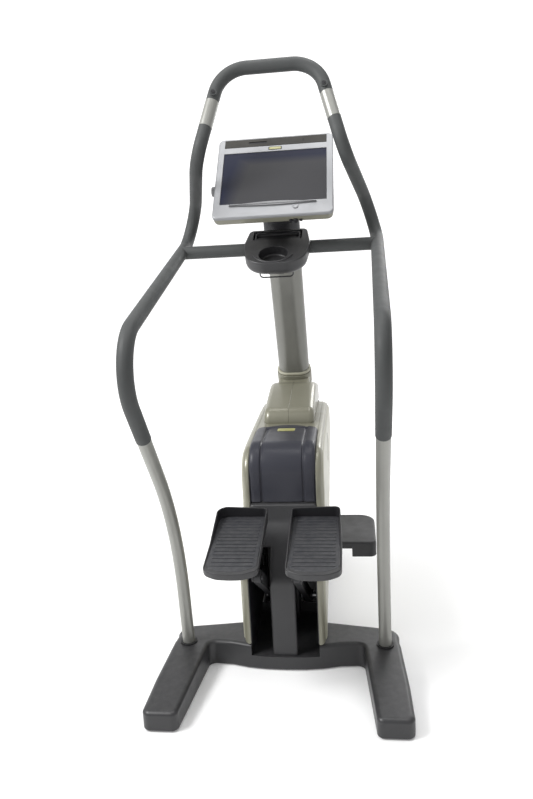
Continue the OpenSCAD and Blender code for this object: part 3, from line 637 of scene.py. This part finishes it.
def dash():
    """A glossy curved panel with a raised border down each side."""
    r = DASH_HI.z - ROUND_Z - 4
    centre = (DASH_LO.y + r, ROUND_Z)
    path = [(DASH_LO.y, SEAM_Z), (DASH_LO.y, 590), (DASH_LO.y, 622)]
    path += arc(*centre, r, 180, 90, 24)
    path += [(60, centre[1] + r + 1.5), (120, centre[1] + r + 3), (DASH_HI.y, DASH_HI.z)]
    half = [(0, 1.5), (30, 1.2), (58, 0.4), (68, -0.6), (71, -3.8), (74, -4.4), (77, -3.4),
            (80, 1.0), (85, 2.3), (99, 2.6), (107, 1.6), (112, -0.6), (115, -3.4), (DASH_HALF, -7)]
    section = two_sided(half)
    section += [(x, -9) for x in (DASH_HALF - 0.5, 0.5 - DASH_HALF)]
    bm = swept(section, path)
    start = DASH_HI.y - BOW_DEPTH
    for v in bm.verts:                       # the far edge bows away from the user
        if v.co.y > start:
            bow = DASH_BOW * (1 - (v.co.x / DASH_HALF) ** 2)
            v.co.y += (v.co.y - start) / BOW_DEPTH * bow
    piece("dash_moulding", bm, slate_gloss, ["dash_panel"])
    # Black discs at the two pin holes: painted shade in the holes.
    for x in (-21, 19):
        hole = turned([(0.5, 0), (2.2, 0), (2.2, 0.8), (0.5, 1.2)],
                      place((x, DASH_LO.y + 14, PIN_Z), y=(0, 0.48, 0.87), z=(0, -0.87, 0.48)))
        piece("dash_pin_%s" % ("left" if x < 0 else "right"), hole, painted_shade_and_mark_black)


dash()


def apron():
    """The strip between the pedal slots, and the wide shoulder above it up to the dash."""
    w = span("strip_cover")[1].x
    section = two_sided([(0, 0.6), (28, 0.5), (36, 0), (40.5, -1.6), (43, -5), (43, -9)])
    low = [(APRON_Y, POCKET_Z + 0.3), (APRON_Y, 180), (APRON_Y, 270)]
    low += rounded([(APRON_Y, 270), (APRON_Y, APRON_TOP), (-167, 430)], [0, 70, 0], 8)[1:-1]
    low += [(-178, 415.4), (-165, 432.7)]
    piece("strip_moulding", swept(section, low), slate, ["strip_cover"])
    section = two_sided([(0, 0.4), (w - 14, 0.2), (w - 6, -0.8), (w - 2, -3), (w - 0.5, -6),
                         (w - 0.5, -9)])
    high = rounded([(-172, 423.4), (-116, 498), (DASH_LO.y - 14, SEAM_Z - 8),
                    (DASH_LO.y + 6, SEAM_Z - 2)], [0, 60, 9, 0], 8)
    piece("shoulder_moulding", swept(section, high), slate)


apron()


SKIRT_W, SKIRT_D, SKIRT_LOW = 148, 108, -50
HUMP_X, TOWER_X, DECK_Z = 100, 68, 757
DECK_NEAR, DECK_FAR, DECK_SUNK = 160, 600, 1.2


def hump():
    """Two mirrored halves that carry the column's foot, with a seam between them."""
    low = ([(250, DECK_Z - 5)] + arc(310, DECK_Z, 60, 180, 104, 14)
           + [(400, 842), (470, 857.5), (505, 864), (530, 866), (560, 862), (620, 850),
              (NOSE_Y - 12, 838), (NOSE_Y - 1, 828), (NOSE_Y - 1, DECK_Z - 5)])
    tower = [(546, DECK_Z), (546, 856), (565, 871), (600, 886), (660, 913), (NOSE_Y - 10, 909),
             (NOSE_Y - 3, 896), (NOSE_Y - 3, DECK_Z)]

    def flared(p):
        """The sides lean in towards the crest."""
        return Vector((p.x, p.y, p.z * (1 - 0.025 * ease((p.y - DECK_Z) / 110))))

    for side, s in SIDES:
        flip = Matrix.Scale(s, 4, (1, 0, 0)) @ ACROSS
        body = slab(low, 0.3, HUMP_X, flip, r_low=1.2, r_high=(20, 24), steps=8, shape=flared)
        piece("hump_moulding_" + side, body, champagne, ["hump_" + side])
        back = slab(tower, 0.3, TOWER_X, flip, r_low=1.2, r_high=(12, 12), steps=6)
        piece("hump_back_" + side, back, champagne)
        top = [(y, z - DECK_SUNK) for y, z in CREST if y > DECK_NEAR]
        top = [(DECK_NEAR, top[0][1] - 2.5)] + top + [(DECK_FAR, CASE_TOP - DECK_SUNK)]
        deck = slab([(DECK_NEAR, DECK_Z - 20), (DECK_FAR, DECK_Z - 20)] + top[::-1], 0.2,
                    SHELL_IN + 4, flip)
        piece("deck_" + side, deck, champagne)


hump()


def collar():
    """A skirt round the column's foot, a band painted darker as shade, and a light ring above it.
    """
    def ring(shrink, z0, z1, r):
        return slab(stadium(SKIRT_W - shrink, SKIRT_D - shrink), z0, z1, COLUMN, r_low=1,
                    r_high=r, steps=5)

    piece("collar_foot", ring(0, SKIRT_LOW, 8, 2), console_back, ["column_collar"])
    piece("collar_band", ring(5, 7, 13, 0.8), collar_painted_shade)
    piece("collar_ring", ring(4, 12.4, 22, 4), cream)


collar()


# ---------- pedals ----------

PEDAL_IN, PEDAL_OUT = (corner.x for corner in span("pedal_right"))
HALF_L = 167.5
HEEL_IN = 0.93
RIBS, RIB_HALF = 14, 2.8
RIB_FIRST, RIBS_SHORT = 49, 82       # from the heel to the first rib, and what both ends leave free
WALL_LOW, WALL_RISE, WALL_INNER = 3.4, 34.6, 0.86
SOLE_DROP = 8


def pedal_outline(inset, toe_out, taper):
    """A foot plate that widens towards its bowed heel; toe_out rounds its outer toe corner."""
    lo, hi = PEDAL_IN + inset, PEDAL_OUT - inset
    mid = (lo + hi) / 2
    toe, heel = HALF_L - inset, inset - HALF_L
    return rounded([(lo, heel + 26), (lo + 42, heel + 3), (mid, heel), (hi - 40, heel + 4),
                    (hi, heel + 26), (hi, -10), (hi - taper, toe), (lo, toe)],
                   [26, 70, 200, 70, 30, 300, max(6, toe_out - inset), max(6, 17 - inset)], 7)


def wall_height(x, y):
    """The walls fall in a long S from the toes to the heel, a little lower on the inner side."""
    share = 1.0 if x > (PEDAL_IN + PEDAL_OUT) / 2 else WALL_INNER
    return WALL_LOW + WALL_RISE * share * ease((y + 50) / 174)


def sole(y):
    """The plate is deeper under the heel."""
    return SOLE_DROP * ease((-y - 30) / 110)


RIMS = [(9, -12, 0), (4, -12, 0), (1.4, -11, 0), (0.2, -8.6, 0), (0, -1, 0), (0, -2.4, 1),
        (0.5, -0.9, 1), (1.6, 0, 1), (3.2, -0.2, 1), (4.2, -1.6, 1)]
TOES = {"left": (36, 1), "right": (20, 7)}


def pedal_tray(outline, where):
    """The foot plate with its walls: each rim is (inset, height, whether it rides the wall)."""
    rings = []
    for inset, z, on_wall in RIMS:
        ring = [(x, y, z + (wall_height(x, y) if on_wall else sole(y) * min(0, z + 1) / 11))
                for x, y in drawn_in(outline, inset)]
        rings.append([where @ Vector(p) for p in ring])
    rings.append([where @ Vector((x, y, 1.0)) for x, y in drawn_in(outline, 5.2)])
    return solid(rings)


def wall_lining(outline, where):
    """A thin dark band inside the walls; each ring is (inset, whether it is at the wall's top)."""
    rings = []
    for inset, on_wall in ((4.4, 0), (4.4, 1), (5.2, 1), (5.2, 0)):
        rings.append([where @ Vector((x, y, 0.6 + on_wall * (wall_height(x, y) - 2.9)))
                      for x, y in drawn_in(outline, inset)])
    return solid(rings, tube=True)


def pedals():
    pitch = (2 * HALF_L - RIBS_SHORT) / (RIBS - 1)
    for side, s in SIDES:
        where = Matrix.Scale(s, 4, (1, 0, 0)) @ PEDAL
        body = "pedal_" + side
        outline = anticlockwise(pedal_outline(0, *TOES[side]))
        piece("pedal_tray_" + side, pedal_tray(outline, where), slate, [body], body)
        tread = anticlockwise(pedal_outline(7, *TOES[side]))
        tread = [(x, y if y > 0 else y * HEEL_IN) for x, y in tread]
        mat = slab(tread, -3, 1.8, where, r_high=1.6, steps=3)
        piece("pedal_mat_" + side, mat, mat_rubber, (), body)
        piece("pedal_wall_" + side, wall_lining(outline, where), dark_lining, (), body)
        for i in range(RIBS):
            y = RIB_FIRST - HALF_L + i * pitch
            bar = rectangle(PEDAL_IN + 19, y - RIB_HALF, PEDAL_OUT - 19, y + RIB_HALF, 2.7, 4)
            rib = slab(bar, 0, 3.6, where, r_high=1.7, steps=3)
            piece("pedal_rib_%s_%02d" % (side, i), rib, mat_rubber, (), body)


pedals()


# ---------- side step ----------

def side_step():
    """A hollow platform with a notch at its inner corner near the user."""
    lo, hi = span("side_step")

    def plan(inset):
        x0, y0, x1, y1 = lo.x + inset, lo.y + inset, hi.x - inset, hi.y - inset
        return rounded([(x0, y0), (x1, y0), (x1, y1), (x0, y1)],
                       [9, 22 - inset, 58 - inset, 9], 8)

    body = slab(plan(0), lo.z, hi.z, r_low=2, r_high=(7, 7), steps=6)
    hollow = slab(plan(6), lo.z - 5, hi.z - 6)
    notch = slab(rectangle(lo.x - 5, lo.y - 4, 238, lo.y + 66), lo.z - 6, 427)
    bracket = slab(rectangle(lo.x - 5, -41, lo.x + 9, 21), lo.z - 6, 433)
    body = less(body, hollow, notch, bracket)
    bevel_sharp(body, 1.5, 2, lambda p: p.z < 428 and p.y < lo.y + 70)
    piece("side_step_moulding", body, step_plastic, ["side_step"])


side_step()


# ---------- tray and hook ----------

TRAY_T = 50
CUP_AT, CUP_R = (-8, -66), 51
HOOK_X, HOOK_Y, HOOK_DROP = 58, -96, 26


def tray():
    """A smooth pod with a cup well, a slot behind it, and a ridge round the front of the cup."""
    top = rounded([(-104, 104), (-118, 10), (-100, -128), (100, -128), (118, 10), (104, 104)],
                  [20, 90, 78, 78, 90, 20], 10)
    body = slab(top, -TRAY_T, 0, TRAY, r_low=(15, 22), r_high=4, steps=8)
    cup = slab(oval(*CUP_AT, CUP_R, CUP_R, 56), -36, 30, TRAY, r_low=8)
    slot = slab(rectangle(-88, 34, 86, 93, 5), -18, 30, TRAY)
    body = less(body, cup, slot)

    def on_rims(p):
        q = TRAY.inverted() @ p
        return q.z > -20 and q.y < 98

    bevel_sharp(body, 1.8, 3, on_rims)
    piece("tray_moulding", body, slate, ["tray"])
    inner = less(slab(rectangle(-83, 38, 81, 90, 5), -17.5, -4, TRAY),
                 slab(rectangle(-78, 43, 76, 85, 12), -14, 10, TRAY, r_low=8))
    piece("tray_insert", inner, dark_lining)
    turns = [math.radians(196 + i * 148 / 40) for i in range(41)]
    ridge = [TRAY @ Vector((CUP_AT[0] + 68 * math.cos(a), CUP_AT[1] + 2 + 58 * math.sin(a), 0.6))
             for a in turns]
    piece("tray_ridge", wire(ridge, 3.6, 12), slate)


def hook():
    """The wire loop under the tray, with soft corners, and its clamp block."""
    r = 12
    side = [(HOOK_X, -HOOK_DROP + r + 14), (HOOK_X, -HOOK_DROP + r)]
    loop = side + arc(HOOK_X - r, r - HOOK_DROP, r, 0, -90, 6)[1:]
    loop += [(-x, z) for x, z in reversed(loop)]
    path = [TRAY @ Vector((x, HOOK_Y, z - TRAY_T)) for x, z in loop]
    piece("hook_wire", wire(path, 2.4, 12), black_plastic, ["wire_hook"])
    block = slab(rectangle(-28, HOOK_Y - 8, 28, HOOK_Y + 14, 3), -TRAY_T - 10, -TRAY_T + 1, TRAY,
                 r_low=2)
    piece("hook_block", block, black_plastic)


tray()
hook()


# ---------- console ----------

HALF_W, HALF_H = 207, 194
FACE_W = 184
SCREEN_LOW, SCREEN_TOP = -132, 118
STRIP_LOW, STRIP_TOP = 146, 186
BUTTON_AT = (79, -158)
LIP_HALF = 150


def console_shell():
    """The housing behind the face."""
    def tuck(p):
        """The back is smaller than the face."""
        k = max(0.0, (-30 - p.z) / 28)
        return Vector((p.x * (1 - 0.10 * k), p.y * (1 - 0.13 * k), p.z))

    outer = rectangle(-HALF_W, -HALF_H, HALF_W, HALF_H, 22, 7)
    shell = slab(outer, -58, -9, CONSOLE, r_low=(24, 24), r_high=2, steps=7, shape=tuck)
    piece("console_shell", shell, console_back, ["console_housing"])


def console_face():
    """The silver face with openings for the screen, the top strip and the button."""
    def on_rims(p):
        q = CONSOLE.inverted() @ p
        return q.z > -0.5 and abs(q.y) < 187

    outer = rectangle(-HALF_W, -HALF_H, HALF_W, HALF_H, 20, 7)
    face = slab(outer, -10, 0, CONSOLE, r_high=5, steps=5)
    face = less(face,
                slab(rectangle(-FACE_W, SCREEN_LOW, FACE_W, SCREEN_TOP, 2), -5, 10, CONSOLE),
                slab(rectangle(-FACE_W, STRIP_LOW, FACE_W, STRIP_TOP, 2), -3, 10, CONSOLE),
                slab(oval(*BUTTON_AT, 9.8, 9.8, 32), -14, 10, CONSOLE))
    bevel_sharp(face, 1.0, 2, on_rims)
    piece("console_face", face, console_silver, ["console_bezel"])
    glass = rectangle(1 - FACE_W, SCREEN_LOW + 1, FACE_W - 1, SCREEN_TOP - 1, 2)
    piece("screen_glass", slab(glass, -8, -2, CONSOLE, r_high=0.6, steps=2), screen_glass,
          ["screen"])


def console_strip():
    """The dark strip over the screen, with its slot and a small mark."""
    plate = rectangle(0.5 - FACE_W, STRIP_LOW + 0.5, FACE_W - 0.5, STRIP_TOP - 0.5, 2)
    strip = slab(plate, -4, 0.8, CONSOLE, r_high=1.0, steps=3)
    strip = less(strip, slab(rectangle(-97, 160, -31, 171, 2), -3, 5, CONSOLE))
    piece("console_strip", strip, strip_plastic, ["top_strip"])
    # A black plate at the bottom of the card slot: painted shade inside the slot.
    card = slab(rectangle(-96, 161, -32, 170, 1), -3.2, -1, CONSOLE)
    piece("console_slot", card, painted_shade_and_mark_black)
    mark = slab(rectangle(98, 160, 103, 172, 1), -1, 1.1, CONSOLE)
    piece("console_mark", mark, painted_shade_and_mark_black)


def crescent():
    """The curved ledge under the screen."""
    steps = [-LIP_HALF + i * LIP_HALF / 12 for i in range(25)]
    bulge = [math.cos(x / LIP_HALF * math.pi / 2) for x in steps]
    lip = [(x, -141 + 11 * b) for x, b in zip(steps, bulge)]
    lip += [(x, -142 - 6 * b) for x, b in zip(steps[::-1], bulge[::-1])]
    piece("console_crescent", slab(lip, -1, 5, CONSOLE, r_high=2, steps=4), crescent_silver)


def round_button():
    """The one round button, which rides on its own body."""
    spot = CONSOLE @ Matrix.Translation((*BUTTON_AT, 0))
    button = turned([(3, -6), (9, -6), (9, 2), (8.2, 3), (6.2, 3.2), (5.4, 2.2), (1, 2)], spot)
    piece("round_button", button, console_silver, ["console_button"], "console_button")


def connectors():
    """A small cluster of sockets under the lower edge."""
    for i, (x, r, length) in enumerate(((62, 7, 9), (78, 9, 12), (96, 6, 8))):
        spot = CONSOLE @ place((x, -186, -30), x=(1, 0, 0), y=(0, 0, 1), z=(0, -1, 0))
        profile = [(1, 0), (r, 0), (r, length - 2), (r - 1.5, length), (1, length)]
        piece("socket_%d" % i, turned(profile, spot, 20), black_plastic)


def knob():
    """A fluted knob on the left edge, turning with its CAD part."""
    lo, hi = span("volume_knob")
    y, z0 = (lo.y + hi.y) / 2, (lo.z + hi.z) / 2
    r, sides, flutes = 17, 72, 18
    rings = []
    for k, z in ((0.3, 0), (0.94, 0), (1, 1.5), (1, 9), (0.95, 12), (0.8, 13.5), (0.3, 14)):
        ring = []
        for i in range(sides):
            a = 2 * math.pi * i / sides
            reach = r * k * (1 + 0.025 * math.cos(flutes * a) * (k > 0.9))
            ring.append(Vector((hi.x - 10 - z, y + reach * math.cos(a), z0 + reach * math.sin(a))))
        rings.append(ring)
    piece("knob_cap", solid(rings), crescent_silver, ["volume_knob"], "volume_knob")


console_shell()
console_face()
console_strip()
crescent()
round_button()
connectors()
knob()


# ---------- badges: plain plates with no lettering ----------

def badges():
    """One blank plate in a rim over the screen, and one on the dash."""
    rim = slab(rectangle(-24, 124.5, 24, 140.5, 4), -1, 0.6, CONSOLE, r_high=0.4, steps=3)
    piece("face_badge_rim", rim, strip_plastic)
    on_face = slab(rectangle(-21, 127, 21, 138, 3), -1, 1.2, CONSOLE, r_high=0.6, steps=3)
    piece("face_badge", on_face, badge_plain, ["badge_plates"])
    spot = tilted((0, 140, DASH_HI.z + 1), 1.5)
    piece("dash_badge", slab(rectangle(-33, -16, 33, 16, 6), -1, 1.6, spot, r_high=0.8, steps=3),
          badge_plain)


badges()


# ---------- room, light and camera ----------

def room():
    """A white floor that curves up into a far backdrop, in metres."""
    curve = [(-11, 0), (7, 0)] + [(y, z) for y, z in arc(7, 3, 3, -90, 0, 18)[1:]] + [(10, 8)]
    bm = bmesh.new()
    sides = [[bm.verts.new((x, y, z)) for y, z in curve] for x in (-14, 14)]
    for i in range(len(curve) - 1):
        bm.faces.new((sides[0][i], sides[1][i], sides[1][i + 1], sides[0][i + 1]))
    bmesh.ops.recalc_face_normals(bm, faces=bm.faces)
    mesh = bpy.data.meshes.new("floor")
    bm.to_mesh(mesh)
    bm.free()
    mesh.shade_smooth()
    floor = bpy.data.objects.new("floor", mesh)
    bpy.context.scene.collection.objects.link(floor)
    g = Graph("floor_white")
    for socket, value in (("Base Color", (0.86, 0.86, 0.86, 1)), ("Roughness", 0.8),
                          ("Specular IOR Level", 0.1), ("Emission Color", (1, 1, 1, 1))):
        g.shader.inputs[socket].default_value = value
    away = g.add("ShaderNodeVectorMath", operation="LENGTH")
    g.link(g.where, away.inputs[0])
    g.link(g.remap(away.outputs["Value"], 0.8, 4.5, 0.14, 0.52),
           g.shader.inputs["Emission Strength"])
    mesh.materials.append(g.material)


def sky():
    """An even white light from all round."""
    world = bpy.data.worlds.new("studio")
    bpy.context.scene.world = world
    world.use_nodes = True
    light = world.node_tree.nodes["Background"]
    light.inputs["Color"].default_value = (1, 1, 1, 1)
    light.inputs["Strength"].default_value = 0.58


def lamp(name, at, aim, size, watts):
    """A soft rectangular light, in metres."""
    data = bpy.data.lights.new(name, "AREA")
    data.shape = "RECTANGLE"
    data.size, data.size_y = size
    data.energy = watts
    obj = bpy.data.objects.new(name, data)
    obj.location = at
    obj.rotation_mode = "QUATERNION"
    obj.rotation_quaternion = (Vector(aim) - Vector(at)).to_track_quat("-Z", "Y")
    bpy.context.scene.collection.objects.link(obj)


room()
sky()
lamp("key", (-2.6, -1.6, 3.6), (0, 0, 0.7), (1.5, 1.5), 165)
lamp("top", (0.2, 0.2, 4.2), (0, 0, 0), (2.2, 2.2), 55)
lamp("back_rim", (1.6, 3.4, 2.8), (0, 0, 1.2), (1.4, 1.4), 40)


def camera():
    """The camera at the viewing angle, in metres."""
    yaw, pitch, roll = math.radians(7.39), math.radians(-11.89), math.radians(-3.03)
    aim = Vector((-math.sin(yaw) * math.cos(pitch), math.cos(yaw) * math.cos(pitch),
                  math.sin(pitch)))
    level = Vector((math.cos(yaw), math.sin(yaw), 0))
    up = level.cross(aim)
    right = level * math.cos(roll) + up * math.sin(roll)
    up = up * math.cos(roll) - level * math.sin(roll)
    data = bpy.data.cameras.new("camera")
    data.sensor_width = 36
    data.lens = 31.68
    obj = bpy.data.objects.new("camera", data)
    obj.matrix_world = Matrix((right, up, -aim)).transposed().to_4x4()
    obj.location = (0.263, -2.422, 1.421)
    bpy.context.scene.collection.objects.link(obj)
    bpy.context.scene.camera = obj


camera()
bpy.context.scene.view_settings.view_transform = "Standard"
